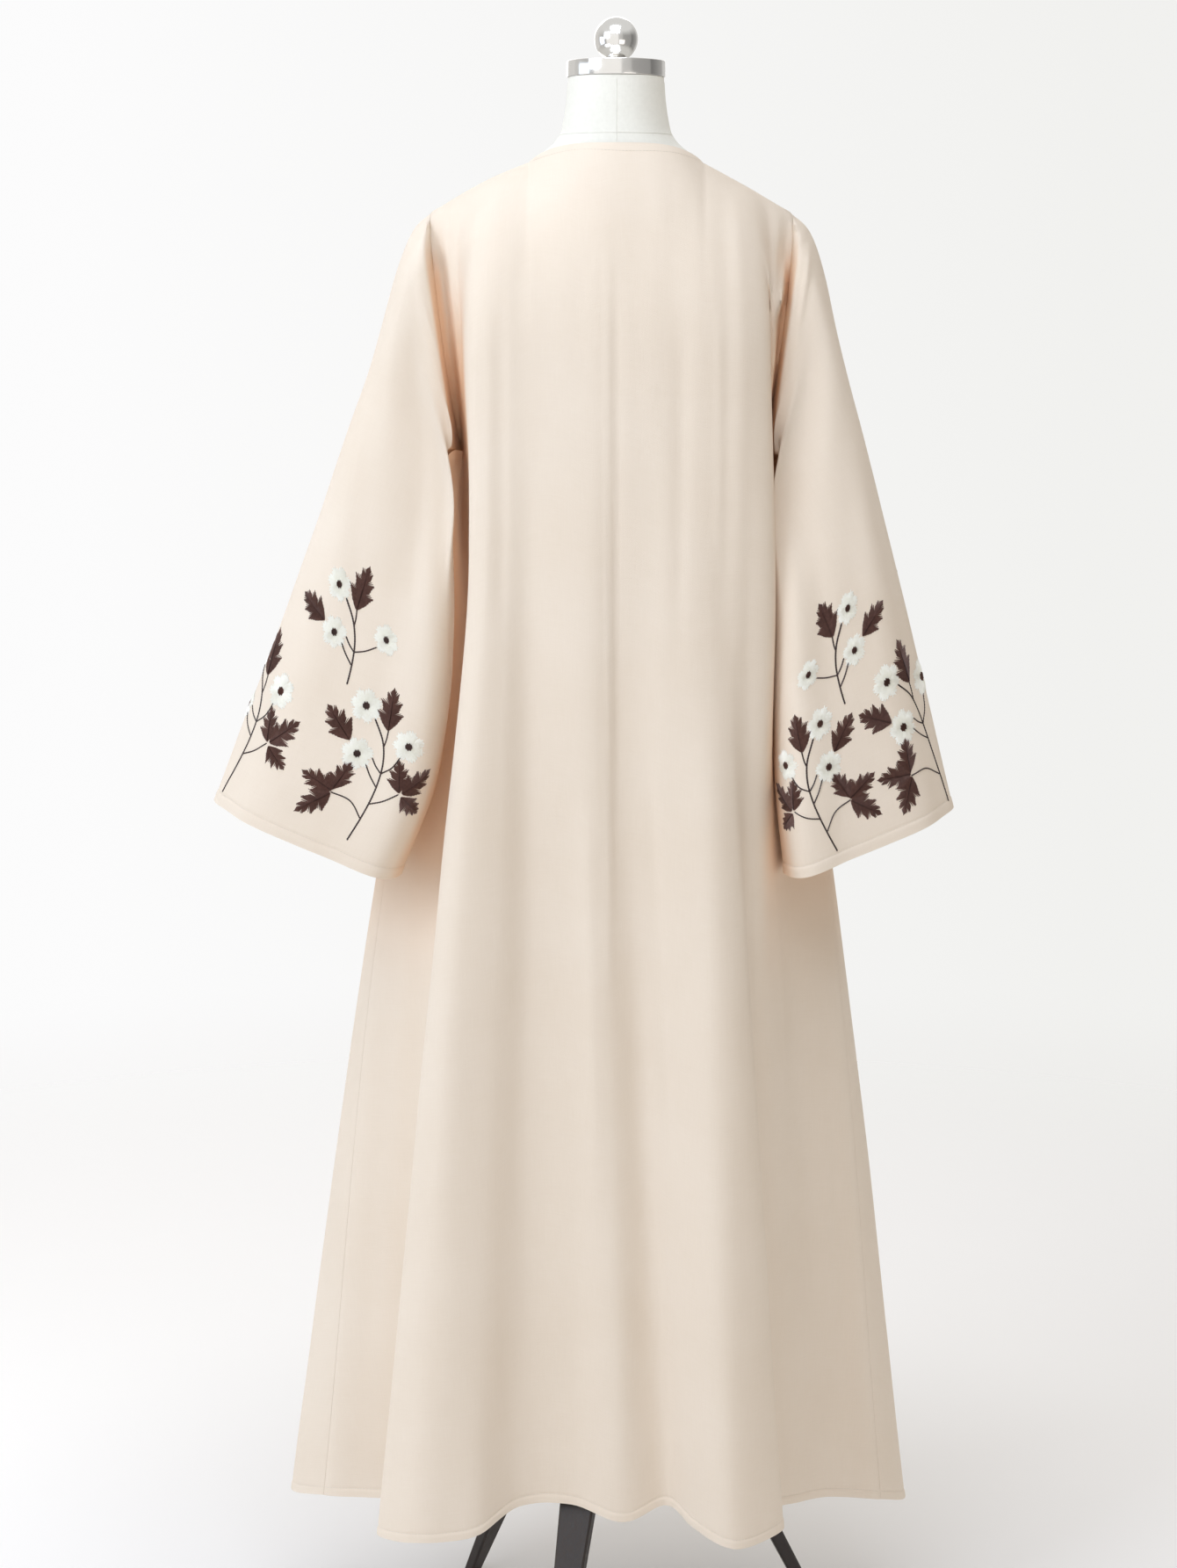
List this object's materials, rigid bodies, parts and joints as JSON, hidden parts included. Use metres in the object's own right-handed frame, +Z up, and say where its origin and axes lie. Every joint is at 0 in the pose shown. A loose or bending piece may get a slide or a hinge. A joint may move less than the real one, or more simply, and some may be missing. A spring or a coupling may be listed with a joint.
{
  "type": "abaya cloak worn on a limbless dress form with a three-legged wooden stand",
  "caption": "Long loose open-front cloak with wide sleeves, hanging in soft folds on a limbless dress form whose pole stands on splayed tapered legs.",
  "frame": {"origin": "on the floor, under the middle of the whole object's bounding box; the form's own axis stands 32 mm to -X and 19.5 mm to -Y of it", "axes": "+Z up; -Y is the cloak's open front and +Y its back; +X is the wearer's left"},
  "size_m": [0.7439, 0.4234, 1.7015],
  "materials": {
    "cream_cloth": "matte fine weave",
    "form_cover": "matte cotton cover",
    "polished_steel": "polished",
    "pole_steel": "satin",
    "dark_wood": "satin dark stain"
  },
  "bodies": {
    "root": {"back": "cream_cloth", "front_left": "cream_cloth", "front_right": "cream_cloth", "sleeve_left": "cream_cloth", "sleeve_right": "cream_cloth", "form_torso": "form_cover", "neck_cap": "polished_steel", "knob": "polished_steel", "pole": "pole_steel", "hub": "dark_wood", "leg_1": "dark_wood", "leg_2": "dark_wood", "leg_3": "dark_wood"}
  },
  "joints": []
}
